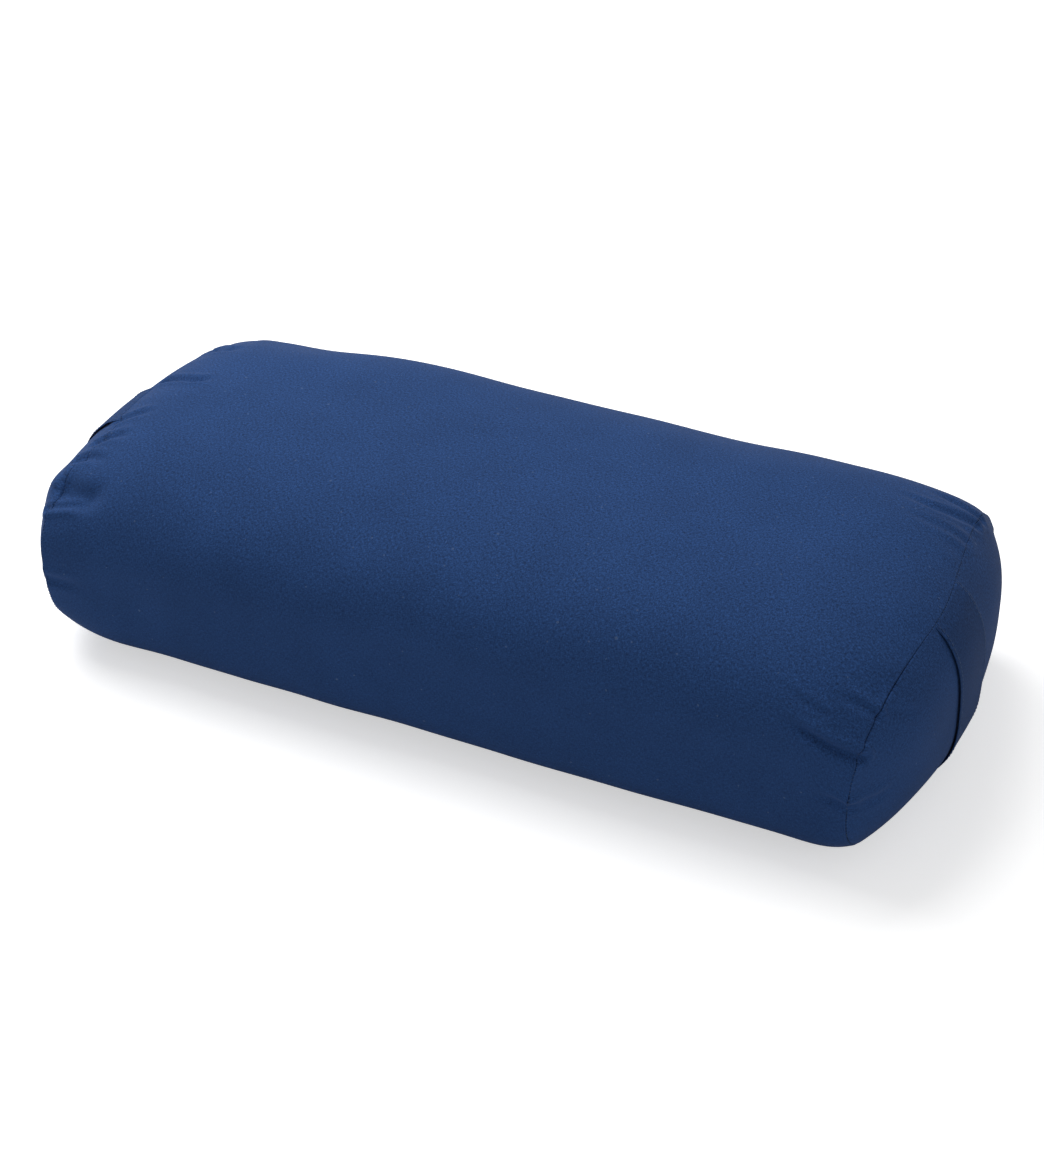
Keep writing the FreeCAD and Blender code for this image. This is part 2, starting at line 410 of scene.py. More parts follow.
def twill_finish(name, colour, pitch=TWILL_PITCH, slope=1.0):
    """Brushed cotton twill: slanting wales, heathered threads, a little lint, and painted raking light: grain
    strongest on top.
    """
    cloth = Finish(name, 0.88, Specular_IOR_Level=0.12, Sheen_Weight=0.055, Sheen_Roughness=0.35)
    cloth.shader.inputs["Sheen Tint"].default_value = (0.85, 0.86, 1, 1)
    flat = cloth.cloth_place((1, slope, 1))
    inputs = {"Vector": flat, "Scale": WAVE_REPEAT / pitch, "Distortion": 5, "Detail": 2, "Detail Scale": 0.7}
    wales = cloth.add("TexWave", inputs, wave_type="BANDS", bands_direction="DIAGONAL").outputs["Fac"]
    weft = cloth.noise(cloth.cloth_place((1, THREAD_STRETCH, 1)), THREAD_SCALE, 1)
    warp = cloth.noise(cloth.cloth_place((THREAD_STRETCH, 1, 1)), THREAD_SCALE, 1)
    threads = cloth.math("ADD", weft, warp)
    nap = cloth.noise(flat, 720, 3, 0.7)
    ribs = cloth.spread(wales, 0, 1, 0.98, 1.02)
    heather = cloth.spread(threads, 2 * NOISE_LOW, 2 * NOISE_HIGH, 0.5, 1.5)
    grain = cloth.math("SUBTRACT", cloth.times(ribs, heather, cloth.vary(nap, 0.8, 1.2)), 1.0)
    # Painted raking light: the grain's contrast is painted stronger where the cloth faces up and weaker on
    # its sides.
    upright = cloth.add("SeparateXYZ", {0: cloth.add("TexCoord").outputs["Normal"]}).outputs["Z"]
    raking_light_contrast = cloth.spread(upright, 0, 0.9, 0.6, 1.25)
    tone = cloth.math("ADD", cloth.times(grain, raking_light_contrast), 1.0)
    patches = cloth.vary(cloth.noise(flat, 26, 3, 0.6), 0.94, 1.06)
    wear = cloth.vary(cloth.noise(flat, 4.5, 2), 0.96, 1.04)
    specks = cloth.spread(cloth.noise(flat, 310, 0), 0.82, 0.86, 0, 0.25)
    shaded = cloth.shade(colour, cloth.times(tone, patches, wear))
    cloth.join(cloth.blend_colours(specks, shaded, LINT), "Base Color")
    cloth.join(cloth.vary(nap, 0.82, 0.94), "Roughness")
    relief = cloth.math("ADD", cloth.times(wales, 0.25), cloth.times(threads, 0.45))
    relief = cloth.math("ADD", relief, cloth.times(nap, 0.4))
    cloth.bump(relief, 0.35 * MM, 0.11)
    return cloth.material


def thread_finish(name, colour):
    """Spun sewing thread: a fine twist along it and a soft gleam."""
    thread = Finish(name, 0.6, Specular_IOR_Level=0.35, Sheen_Weight=0.1)
    place = thread.space_place()
    fibres = thread.noise(place, 3500, 2)
    thread.join(thread.shade(colour, thread.vary(fibres, 0.8, 1.2)), "Base Color")
    thread.bump(fibres, 0.1 * MM, 0.4)
    return thread.material


def woven_tape_finish(name, colour):
    """Polyester zip tape: a close herringbone of ribs along the tape."""
    tape = Finish(name, 0.7, Specular_IOR_Level=0.3, Sheen_Weight=0.05)
    place = tape.space_place()
    ribs = tape.add("TexWave", {"Vector": place, "Scale": 300, "Distortion": 0.4}, bands_direction="Z")
    cross = tape.add("TexWave", {"Vector": place, "Scale": 420, "Distortion": 0.6}, bands_direction="X")
    weave = tape.times(ribs.outputs["Fac"], cross.outputs["Fac"])
    fuzz = tape.noise(place, 900, 2)
    tone = tape.times(tape.spread(weave, 0, 1, 0.78, 1.15), tape.vary(fuzz, 0.9, 1.1))
    tape.join(tape.shade(colour, tone), "Base Color")
    tape.bump(weave, 0.2 * MM, 0.6)
    return tape.material


def nylon_finish(name, colour):
    """Drawn nylon, lightly scuffed."""
    nylon = Finish(name, 0.38, Specular_IOR_Level=0.5, Coat_Weight=0.1)
    scuffs = nylon.noise(nylon.space_place(), 240, 3)
    nylon.join(nylon.shade(colour, nylon.vary(scuffs, 0.9, 1.12)), "Base Color")
    nylon.join(nylon.vary(scuffs, 0.3, 0.46), "Roughness")
    nylon.bump(scuffs, 0.05 * MM, 0.3)
    return nylon.material


def metal_finish(name, colour):
    """Plated die-cast zinc, dulled where fingers and the cloth rub it."""
    metal = Finish(name, 0.34, Metallic=1.0, Specular_IOR_Level=0.5)
    place = metal.space_place()
    rub = metal.noise(place, 180, 4, 0.6)
    metal.join(metal.shade(colour, metal.vary(rub, 0.8, 1.08)), "Base Color")
    metal.join(metal.vary(rub, 0.26, 0.5), "Roughness")
    metal.bump(metal.noise(place, 1400, 2), 0.03 * MM, 0.25)
    return metal.material


def muslin_finish(name, colour):
    """Plain unbleached cotton: an open over-and-under weave."""
    muslin = Finish(name, 0.9, Specular_IOR_Level=0.2, Sheen_Weight=0.1)
    flat = muslin.cloth_place()
    over = muslin.add("TexWave", {"Vector": flat, "Scale": 420, "Distortion": 0.8}, bands_direction="X")
    under = muslin.add("TexWave", {"Vector": flat, "Scale": 420, "Distortion": 0.8}, bands_direction="Y")
    weave = muslin.times(over.outputs["Fac"], under.outputs["Fac"])
    slubs = muslin.noise(flat, 160, 3)
    tone = muslin.times(muslin.spread(weave, 0, 1, 0.86, 1.04), muslin.vary(slubs, 0.92, 1.05))
    muslin.join(muslin.shade(colour, tone), "Base Color")
    muslin.bump(weave, 0.2 * MM, 0.5)
    return muslin.material


def batting_finish(name, colour):
    """Carded cotton batting: matted fibres with darker specks of seed husk."""
    batting = Finish(name, 0.97, Specular_IOR_Level=0.1, Sheen_Weight=0.3)
    place = batting.space_place()
    fibres = batting.noise(place, 260, 6, 0.75)
    mats = batting.noise(place, 45, 3)
    tone = batting.times(batting.vary(fibres, 0.86, 1.05), batting.vary(mats, 0.93, 1.04))
    husks = batting.spread(batting.noise(place, 520, 0), 0.78, 0.82, 0, 0.6)
    batting.join(batting.blend_colours(husks, batting.shade(colour, tone), SEED_HUSK), "Base Color")
    batting.bump(batting.math("ADD", fibres, mats), 1.2 * MM, 0.7)
    return batting.material


# How much brighter than lit the floor looks to the camera
FLOOR_GLOW = 0.56
PAPER = (0.9, 0.9, 0.9)


def floor_finish():
    """Pale paper, which looks brighter than the light that it gives back."""
    floor = Finish("floor", 0.75, Specular_IOR_Level=0.2)
    grain = floor.noise(floor.space_place(), 30, 3)
    floor.join(floor.shade(PAPER, floor.vary(grain, 0.995, 1.005)), "Base Color")
    floor.shader.inputs["Emission Color"].default_value = (1, 1, 1, 1)
    seen = floor.add("LightPath").outputs["Is Camera Ray"]
    floor.join(floor.times(seen, FLOOR_GLOW), "Emission Strength")
    return floor.material


# The strap's twill is a little darker and finer than the cover's, and slants the other way
STRAP_BLUE = tuple(0.82 * value for value in CLOTH_BLUE)
COVER_TWILL = twill_finish("cover_twill", CLOTH_BLUE)
STRAP_TWILL = twill_finish("strap_twill", STRAP_BLUE, 1.1 * MM, -1.0)
SEAM_THREAD = thread_finish("seam_thread", (0.045, 0.095, 0.21))
ZIP_TAPE = woven_tape_finish("zip_tape", (0.018, 0.045, 0.13))
ZIP_NYLON = nylon_finish("zip_nylon", (0.02, 0.05, 0.14))
ZIP_METAL = metal_finish("zip_metal", (0.62, 0.6, 0.57))
LINER_MUSLIN = muslin_finish("liner_muslin", (0.78, 0.73, 0.62))
COTTON_BATTING = batting_finish("cotton_batting", (0.8, 0.74, 0.62))


# The cover's shape: simulated, then made uneven

SIM_FRAMES = 18
# The furthest that the simulation may move a point
SIM_LIMIT = 5 * MM
# The cloth is loose up to this share of a length from an end seam, and held again from the full length on
FREE_START = 0.35
FREE_LENGTH = 95 * MM
FREE_SHARE = 0.97
# The same on an end panel, as shares of the way out to its seam
PANEL_FREE_START, PANEL_FREE_END = 0.5, 0.75
PANEL_FREE_SHARE = 0.9
# It is held round the zip and, a little less, under the straps
ZIP_GUARD = 22 * MM
ZIP_GUARD_DROP = 4 * MM
STRAP_GUARD = 45 * MM
STRAP_GUARD_DEPTH = 8 * MM
STRAP_HOLD = 0.9
# How much wider than the fill the cloth is cut, and how that fades away from the seams and their corners
SURPLUS = 0.07
SURPLUS_REACH = 45 * MM
SURPLUS_PLAIN = 0.35
PANEL_SURPLUS = 0.3
WEIGHT_STEPS = 20


def edge_distance():
    """How far each row of the wrap panel lies from its nearest end seam."""
    return SEAM_X - np.abs(body_rows())


def corner_share(least, power=1):
    """For each column, from a least value on the four sides to 1 at the four corners."""
    return least + (1 - least) * np.abs(np.sin(2 * section(1)[0])) ** power


def panel_grid_rows(side):
    """Rows of the grid on an end panel, from its seam to its middle."""
    return END_SEAMS[side] + side * (np.arange(len(DOME_STEPS)) + 1)


def held_weights(grid):
    """1 where the cloth is held to the fill, less near the end seams, where it may buckle."""
    held = np.ones(grid.shape[:2])
    free = 1 - smooth_step(edge_distance(), FREE_LENGTH * FREE_START, FREE_LENGTH)
    held[FIRST_SEAM:LAST_SEAM + 1] = (1 - FREE_SHARE * free)[:, None]
    panel_free = smooth_step(np.array(DOME_STEPS), PANEL_FREE_START, PANEL_FREE_END)
    for side, seam in END_SEAMS.items():
        held[panel_grid_rows(side)] = (1 - PANEL_FREE_SHARE * panel_free)[:, None]
        held[seam] = 1
    x, y, z = np.moveaxis(grid, 2, 0)
    near_zip = (np.abs(z - (TAPE_LOW.z - ZIP_GUARD_DROP)) < ZIP_GUARD) & (y > BACK_Y)
    held[near_zip & (np.abs(x) < TAPE_HIGH.x + ZIP_GUARD)] = 1
    near_strap = (np.abs(y - STRAP_Y) < STRAP_GUARD) & (np.abs(x) > SEAM_X - STRAP_GUARD_DEPTH)
    held[near_strap] = np.maximum(held[near_strap], STRAP_HOLD)
    return held


def surplus_weights(grid):
    """Where the cloth is cut wider than the fill: most near the corners of the end seams."""
    near = np.exp(-edge_distance() / SURPLUS_REACH)
    corner = corner_share(SURPLUS_PLAIN)
    surplus = np.zeros(grid.shape[:2])
    surplus[FIRST_SEAM:LAST_SEAM + 1] = near[:, None] * corner[None, :]
    for side in END_SEAMS:
        surplus[panel_grid_rows(side)] = PANEL_SURPLUS * corner[None, :]
    return surplus


def weigh(piece, name, weights):
    """A vertex group with the given weights, rounded to a few steps."""
    group = piece.vertex_groups.new(name=name)
    shares = np.round(np.clip(weights.ravel(), 0, 1) * WEIGHT_STEPS).astype(int)
    for share in range(1, WEIGHT_STEPS + 1):
        chosen = np.nonzero(shares == share)[0].tolist()
        if chosen:
            group.add(chosen, share / WEIGHT_STEPS, "REPLACE")
    return group.name


def simulated(grid):
    """The grid after a short cloth simulation, with the fill as pressure."""
    piece = mesh_object("cover_pattern", grid.reshape(-1, 3), closed_faces(*grid.shape[:2]))
    face_outwards(piece)
    settings = piece.modifiers.new("cloth", "CLOTH").settings
    settings.quality = 6
    settings.mass = 0.25
    settings.tension_stiffness = 18
    settings.compression_stiffness = 14
    settings.shear_stiffness = 6
    settings.bending_stiffness = 0.35
    settings.use_pressure = True
    settings.uniform_pressure_force = 4
    settings.effector_weights.gravity = 0
    settings.pin_stiffness = 1
    settings.vertex_group_mass = weigh(piece, "held", held_weights(grid))
    settings.vertex_group_shrink = weigh(piece, "surplus", surplus_weights(grid))
    settings.shrink_min = 0
    settings.shrink_max = -SURPLUS
    for number in range(1, SIM_FRAMES + 1):
        bpy.context.scene.frame_set(number)
    graph = bpy.context.evaluated_depsgraph_get()
    settled = points_of(piece.evaluated_get(graph).to_mesh()).reshape(grid.shape)
    bpy.context.scene.frame_set(1)
    bpy.data.objects.remove(piece)
    moved = settled - grid
    length = np.linalg.norm(moved, axis=2, keepdims=True)
    return grid + moved * np.minimum(1, SIM_LIMIT / np.maximum(length, 1e-9))


# Creases pressed into the cloth: points on the surface in mm from the faint end to the strong one, how
# deep and how wide each is, and how high the cloth stands above it and below it
CREASES = (
    # Right end, near side: the long fold that runs into the corner of the end seam, and its neighbours
    (((236, -139, 108), (251, -142, 103), (269, -142, 98), (286, -141, 94)), 3.5, 3.3, 1.9, 0.4),
    (((226, -127, 124), (246, -132, 118), (262, -134, 113)), 0.9, 2.6, 0.8, 0.3),
    (((262, -124, 122), (275, -124, 118), (286, -123, 113)), 1.3, 3.0, 0.9, 0.5),
    (((262, -148, 65), (272, -148, 63), (284, -146, 62)), 1.6, 3.2, 1.3, 0.4),
    (((306, -98, 101), (300, -104, 107), (291, -112, 113)), 0.8, 3.0, 0.6, 0.4),
    (((303, -118, 60), (293, -132, 60), (286, -142, 62)), 0.9, 3.5, 0.8, 0.3),
    # Right end, far side: gathers at the top corner
    (((240, 70, 148), (263, 74, 140), (287, 87, 125)), 1.5, 4.5, 1.0, 0.7),
    (((246, 48, 150), (265, 50, 144), (286, 56, 131)), 0.8, 4.5, 0.5, 0.4),
    (((250, 95, 136), (270, 100, 128), (286, 104, 118)), 1.4, 4.5, 0.9, 0.6),
    (((252, 136, 104), (270, 138, 98), (284, 138, 92)), 2.0, 5.0, 1.4, 0.6),
    # Left end, near side: the dimple under the corner and the crease beside it
    (((-246, -121, 127), (-262, -125, 121), (-282, -120, 117)), 5.0, 9.0, 1.6, 0.4),
    (((-256, -131, 115), (-270, -129, 116), (-290, -128, 106)), 1.5, 3.0, 0.4, 1.6),
    (((-262, -100, 138), (-276, -94, 133), (-290, -93, 124)), 1.9, 4.0, 1.3, 0.8),
    (((-260, -72, 146), (-274, -70, 140), (-288, -75, 129)), 1.8, 4.0, 1.2, 0.8),
    (((-258, -44, 149), (-270, -43, 144), (-288, -47, 132)), 1.6, 4.0, 1.1, 0.7),
    (((-258, -148, 66), (-270, -148, 64), (-284, -147, 62)), 1.4, 4.0, 0.9, 0.4),
    # Left end, far side
    (((-238, 6, 152), (-256, 4, 150), (-288, 14, 134)), 2.4, 3.6, 1.2, 1.2),
    (((-252, 60, 146), (-268, 66, 140), (-286, 78, 128)), 2.0, 4.5, 1.2, 0.8),
    (((-250, 120, 120), (-268, 124, 112), (-284, 128, 104)), 2.4, 5.5, 1.4, 0.8),
)
# A crease fades in between these shares of its path
CREASE_START, CREASE_FADE = -0.05, 0.5
# The banks of raised cloth beside a crease: how far off they lie and how wide they are, in crease widths
BANK_PLACE, BANK_WIDTH = 1.7, 0.9
# Which side of a crease counts as above it
CREASE_UP = np.array([0, 0.5, 1])


def nearest_on_path(points, path):
    """Each point's distance from a path, the way to it from there, and how far along that lies, 0 to 1."""
    best = np.full(len(points), np.inf)
    place = np.zeros(len(points))
    way = np.zeros(points.shape)
    steps = len(path) - 1
    for index in range(steps):
        start, run = path[index], path[index + 1] - path[index]
        share = np.clip((points - start) @ run / (run @ run), 0, 1)
        offset = points - start - share[:, None] * run
        distance = np.linalg.norm(offset, axis=1)
        closer = distance < best
        best[closer] = distance[closer]
        way[closer] = offset[closer]
        place[closer] = (index + share[closer]) / steps
    return best, way, place


def crease_rise(points):
    """How far the creases move each point out of the cloth."""
    rise = np.zeros(len(points))
    on_cover = COVER.reshape(-1, 3)
    for path, depth, width, above, below in CREASES:
        wanted = np.array(path) * MM
        on_cloth = [on_cover[np.linalg.norm(on_cover - place, axis=1).argmin()] for place in wanted]
        distance, way, place = nearest_on_path(points, np.array(on_cloth))
        reach = distance / (width * MM)
        strength = smooth_step(place, CREASE_START, CREASE_FADE)
        height = np.where(way @ CREASE_UP > 0, above, below) * smooth_step(reach, 0, 1)
        banks = height * MM * np.exp(-((reach - BANK_PLACE) / BANK_WIDTH) ** 2)
        rise += strength * (banks - depth * MM * np.exp(-reach ** 2))
    return rise


def press_creases(piece):
    """Presses the creases into a finished panel, along the normals of the cover."""
    lookup = KDTree(COVER.shape[0] * COVER.shape[1])
    for index, place in enumerate(COVER.reshape(-1, 3)):
        lookup.insert(place, index)
    lookup.balance()
    points = points_of(piece.data)
    nearest = [lookup.find(point)[1] for point in points]
    moved = points + crease_rise(points)[:, None] * COVER_NORMALS.reshape(-1, 3)[nearest]
    piece.data.vertices.foreach_set("co", moved.ravel())
    piece.data.update()


# Broad swells and hollows of the fill: centre in mm, height and radius
SWELLS = (
    ((-122, 92, 150), 4.4, 72),
    ((20, 95, 150), 0.8, 45),
    ((120, 100, 148), -2.2, 50),
    ((-215, 110, 140), -4.2, 48),
    ((215, -150, 30), -1.6, 40),
    ((278, -142, 20), 1.6, 30),
    ((308, -78, 34), -1.6, 34),
    ((-245, -141, 20), 2.6, 32),
    ((-299, -104, 109), 3.4, 15),
)

# Two sizes of lumps in the fill: how many to a metre, how high, and how much the finer ones count
LUMP_HEIGHT = 1.5 * MM
BROAD_LUMPS = 9
FINE_LUMPS = 21
FINE_LUMP_SHARE = 0.55
FINE_LUMP_OFFSET = Vector((7, 3, 1))
# Gathers: how far apart, high and long, and how far from a seam they rise, fade and end
GATHER_PITCH = 17 * MM
GATHER_HEIGHT = 2.2 * MM
GATHER_LENGTH = 60 * MM
GATHER_START = 6 * MM
GATHER_FADE = 20 * MM
GATHER_REACH = 70 * MM
# Each end takes its gathers from another slice of the noise
GATHER_SLICES = {-1: 5.0, 1: 11.0}
GATHER_PLAIN = 0.25
GATHER_POWER = 1.5
# A seam follows the lumps only in part, and the cloth is flat where it rests on the floor
SEAM_SHARE = 0.4
FLOOR_REACH = 14 * MM


def lump_rise(grid):
    """Soft unevenness of the fill."""
    rise = np.zeros(grid.shape[:2])
    for row, column in np.ndindex(rise.shape):
        place = Vector(grid[row, column])
        fine = noise.noise(place * FINE_LUMPS + FINE_LUMP_OFFSET)
        rise[row, column] = LUMP_HEIGHT * (noise.noise(place * BROAD_LUMPS) + FINE_LUMP_SHARE * fine)
    return rise


def gather_rise(grid):
    """Small gathers where the cloth meets the end seams."""
    rise = np.zeros(grid.shape[:2])
    seam = grid[LAST_SEAM]
    around = np.cumsum(np.linalg.norm(np.diff(seam, axis=0, append=seam[:1]), axis=1))
    corner = corner_share(GATHER_PLAIN, GATHER_POWER)
    for x, gap, row in zip(body_rows(), edge_distance(), range(FIRST_SEAM, LAST_SEAM + 1)):
        if gap > GATHER_REACH:
            continue
        side = -1 if x < 0 else 1
        swell = smooth_step(gap, 0, GATHER_START) * math.exp(-gap / GATHER_FADE)
        for column, length in enumerate(around):
            place = Vector((length / GATHER_PITCH, GATHER_SLICES[side], gap / GATHER_LENGTH))
            rise[row, column] = GATHER_HEIGHT * noise.noise(place) * swell * corner[column]
    return rise


def uneven(grid):
    """The grid with the fill's lumps and swells and the seams' gathers."""
    rise = lump_rise(grid) + gather_rise(grid)
    for seam in END_SEAMS.values():
        rise[seam] *= SEAM_SHARE
    for centre, height, radius in SWELLS:
        distance = np.linalg.norm(grid - np.array(centre) * MM, axis=2) / (radius * MM)
        rise += height * MM * np.exp(-distance ** 2)
    above_floor = smooth_step(grid[..., 2], 0, FLOOR_REACH)
    return grid + (rise * above_floor)[..., None] * grid_normals(grid)


def shaped_cover():
    grid = drifted_seam(cover_grid())
    grid = simulated(grid)
    grid = uneven(grid)
    grid[..., 2] = np.maximum(grid[..., 2], WRAP_LOW.z)
    return grid


COVER = shaped_cover()
COVER_NORMALS = grid_normals(COVER)

# The cover's panels, with their edges turned in at the seams

# How deep an end seam lies below the cloth, and half of the gap between the panels there
SEAM_DIP = 0.25 * MM
SEAM_GAP = 0.03 * MM
# How deep each turned-in row lies, and how far it leans away from the seam
ALLOWANCE = ((1.6 * MM, 0.1 * MM), (3.6 * MM, 0.3 * MM))
# The first and last row of each panel
PANELS = {
    "cover_end_panel_left": (0, FIRST_SEAM),
    "cover_wrap_panel": (FIRST_SEAM, LAST_SEAM),
    "cover_end_panel_right": (LAST_SEAM, len(COVER) - 1),
}


def turned_edge(grid, normals, seam, inner):
    """Rows that turn a panel's edge in at a seam, from the surface inwards."""
    outward = normals[seam]
    away = grid[inner] - grid[seam]
    away = unit(away - (away * outward).sum(1, keepdims=True) * outward)
    edge = grid[seam] - outward * SEAM_DIP + away * SEAM_GAP
    return [edge] + [edge - outward * depth + away * lean for depth, lean in ALLOWANCE]


def panel_rows(grid, normals, first, last):
    """A panel's rows, with its edges turned in where it has seams."""
    rows = [grid[row] for row in range(first, last + 1)]
    if first > 0:
        rows = turned_edge(grid, normals, first, first + 1)[::-1] + rows[1:]
    if last < len(grid) - 1:
        rows = rows[:-1] + turned_edge(grid, normals, last, last - 1)
    return np.array(rows)


def flat_places(rows, is_end):
    """Where each point of a panel lies on the flat cloth: across the end, or along and round the wrap."""
    if is_end:
        return rows[..., 1:3].reshape(-1, 2)
    lengths = np.linalg.norm(np.diff(rows, axis=1, append=rows[:, :1]), axis=2)
    round_it = np.cumsum(lengths.mean(0))
    around = np.broadcast_to(round_it, rows.shape[:2])
    return np.stack([rows[..., 0], around], 2).reshape(-1, 2)


# No edge of the hole in the middle of an end panel lies further out than this
MIDDLE_HOLE = 15 * MM


def panel_mesh(name, rows, material, is_end):
    """A panel as a smooth mesh, open at its cut edges and, on an end panel, in the middle."""
    piece = mesh_object(name, rows.reshape(-1, 3), grid_faces(len(rows), rows.shape[1]), material)
    face_outwards(piece)
    lay_out(piece, flat_places(rows, is_end))
    return piece


def close_middle(piece):
    """Fills the small round hole that an end panel's rows leave in its middle."""
    middle = Vector((0, 0, END_MIDDLE))
    with editing(piece) as edit:
        open_edges = [edge for edge in edit.edges if edge.is_boundary]
        rim = [edge for edge in open_edges if (middle_of(edge) - middle).yz.length < MIDDLE_HOLE]
        bmesh.ops.contextual_create(edit, geom=rim)
        bmesh.ops.recalc_face_normals(edit, faces=edit.faces)


def middle_of(edge):
    return (edge.verts[0].co + edge.verts[1].co) / 2


ZIP_MIDDLE = (TAPE_LOW.z + LOWER_TAPE_HIGH.z) / 2
ZIP_END = COIL_HIGH.x + 4 * MM
# Half heights of the zip's slot and of the closed seam beyond it, and how deep their edges are folded in
SLOT_HALF = 4.5 * MM
CLOSED_SEAM_HALF = 0.18 * MM
HEM_DEPTH = 1.7 * MM
# Faces this near to the zip's middle may be cut
CUT_REACH = 16 * MM
CUT_TOLERANCE = 1e-7


def on_back(face):
    middle = face.calc_center_median()
    return middle.y > BACK_Y and abs(middle.z - ZIP_MIDDLE) < CUT_REACH


def in_slot(face):
    middle = face.calc_center_median()
    half = SLOT_HALF if abs(middle.x) < ZIP_END else CLOSED_SEAM_HALF
    return middle.y >= BACK_Y and abs(middle.z - ZIP_MIDDLE) < half


def with_edges(faces):
    """The faces and everything that they are made of, each once and in order."""
    parts = dict.fromkeys(faces)
    for face in faces:
        parts.update(dict.fromkeys([*face.verts, *face.edges]))
    return list(parts)


def cut_zip_slot(piece):
    """Opens the wrap's long edges for the zip, closes them with a seam beyond it, and folds both edges in."""
    heights = (-SLOT_HALF, -CLOSED_SEAM_HALF, CLOSED_SEAM_HALF, SLOT_HALF)
    planes = [((0, 0, ZIP_MIDDLE + height), (0, 0, 1)) for height in heights]
    planes += [((side * ZIP_END, 0, 0), (1, 0, 0)) for side in (-1, 1)]
    with editing(piece) as edit:
        for place, normal in planes:
            parts = with_edges([face for face in edit.faces if on_back(face)])
            bmesh.ops.bisect_plane(edit, geom=parts, plane_co=place, plane_no=normal, dist=CUT_TOLERANCE)
        removed = dict.fromkeys(face for face in edit.faces if in_slot(face))
        rim = dict.fromkeys(edge for face in removed for edge in face.edges)
        rim = [edge for edge in rim if any(face not in removed for face in edge.link_faces)]
        bmesh.ops.delete(edit, geom=list(removed), context="FACES")
        folded = bmesh.ops.extrude_edge_only(edit, edges=[edge for edge in rim if edge.is_valid])
        moved = [part for part in folded["geom"] if isinstance(part, bmesh.types.BMVert)]
        bmesh.ops.translate(edit, verts=moved, vec=(0, -HEM_DEPTH, 0))


def make_cover():
    for node, (first, last) in PANELS.items():
        rows = panel_rows(COVER, COVER_NORMALS, first, last)
        is_end = node != "cover_wrap_panel"
        piece = panel_mesh(node + "_cloth", rows, COVER_TWILL, is_end)
        subdivide(piece)
        press_creases(piece)
        if is_end:
            close_middle(piece)
        else:
            cut_zip_slot(piece)
        declare(piece, [node])


# Stitches

STITCH_SIDES = 6
# A stitch's rings: place along it, width, and height above the cloth in half thicknesses
STITCH_RINGS = ((-0.5, 0.35, -0.7), (-0.38, 0.85, 0.15), (0, 1, 0.45), (0.38, 0.85, 0.15), (0.5, 0.35, -0.7))


def stitches(places, headings, normals, length, thickness):
    """Points and faces of a row of short threads that dive into the cloth at both ends."""
    points, faces = [], []
    turns = np.linspace(0, 2 * math.pi, STITCH_SIDES, endpoint=False)
    for place, heading, normal in zip(places, headings, normals):
        across = np.cross(heading, normal)
        start = len(points)
        for along, width, height in STITCH_RINGS:
            centre = place + heading * along * length + normal * height * thickness / 2
            for turn in turns:
                offset = across * math.cos(turn) + normal * math.sin(turn)
                points.append(centre + offset * width * thickness / 2)
        faces += closed_faces(len(STITCH_RINGS), STITCH_SIDES, start)
    return points, faces


def along_line(line, normals, pitch, closed=False):
    """Places, headings and normals spaced evenly along a line of points."""
    if closed:
        line = np.vstack([line, line[:1]])
        normals = np.vstack([normals, normals[:1]])
    lengths = lengths_along(line)
    wanted = np.arange(pitch / 2, lengths[-1], pitch)
    places = points_at(wanted, lengths, line)
    return places, unit(np.gradient(places, axis=0)), unit(points_at(wanted, lengths, normals))


SEAM_STITCH_PITCH = 2.8 * MM
SEAM_STITCH_LENGTH = 1.1 * MM
SEAM_STITCH_SUNK = 0.12 * MM
THREAD = 0.38 * MM


def make_seam_stitches():
    """The threads that show between the panels at each end seam."""
    for side, seam in END_SEAMS.items():
        rise = crease_rise(COVER[seam]) - SEAM_DIP - SEAM_STITCH_SUNK
        sunk = COVER[seam] + COVER_NORMALS[seam] * rise[:, None]
        places, headings, facing = along_line(sunk, COVER_NORMALS[seam], SEAM_STITCH_PITCH, closed=True)
        across = unit(np.cross(facing, headings))
        points, faces = stitches(places, across, facing, SEAM_STITCH_LENGTH, THREAD)
        piece = mesh_object(f"end_seam_stitches_{SIDE_NAMES[side]}", points, faces, SEAM_THREAD)
        face_outwards(piece)
        declare(piece)


# Carry straps

STRAP_THICK = 1.3 * MM
STRAP_ROWS = 44
STRAP_LANES = 7
STRAP_COLUMNS = 26
# The band clears the panel by this much, and stands off it by so much more halfway down
STRAP_CLEAR = 0.3 * MM
STRAP_STAND = 0.5 * MM
# At each seam the band lies sunk between the panels, and it comes out over these heights
STRAP_SINK = 1.3 * MM
STRAP_RISE = 9 * MM
STRAP_BASE_RISE = 34 * MM
# The band leans aside on its way down: by how much at its lower end, and from what share of the way on
STRAP_SWAY = 15 * MM
STRAP_SWAY_DROP = 0.97
# How far its ends are tucked in behind the seams, and up and down there
STRAP_TUCK = 3 * MM
STRAP_TUCK_UP = 0.6 * MM
STRAP_TUCK_DOWN = 0.3 * MM
# The seam's height at one y is taken from its points this near, and the band starts just inside it
SEAM_PICK = 4 * MM
SEAM_INSET = 0.7 * MM
# How often the band's hollows are pulled straight
TAUT_ROUNDS = 12
# Rays towards an end panel start well outside it
RAY_START = 0.5
# The band's edges: how dense and how square they are, and how far its hems stand up
EDGE_CROWDING = 1.6
EDGE_SQUARENESS = 30
HEM_LIFT = 0.4 * MM
HEM_POWER = 6
EDGE_STITCH_INSET = 3.6 * MM
EDGE_STITCH_PITCH = 3.4 * MM
EDGE_STITCH_LENGTH = 2.5 * MM


def strap_sway(drop):
    """How far aside the band lies at each share of its way down."""
    return STRAP_SWAY * smooth_step(drop, 0, STRAP_SWAY_DROP)


def away_from(line):
    """The direction out of the band at each point of an x and z line down it."""
    heading = unit(np.gradient(line, axis=0))
    return np.stack([-heading[:, 1], heading[:, 0]], 1)


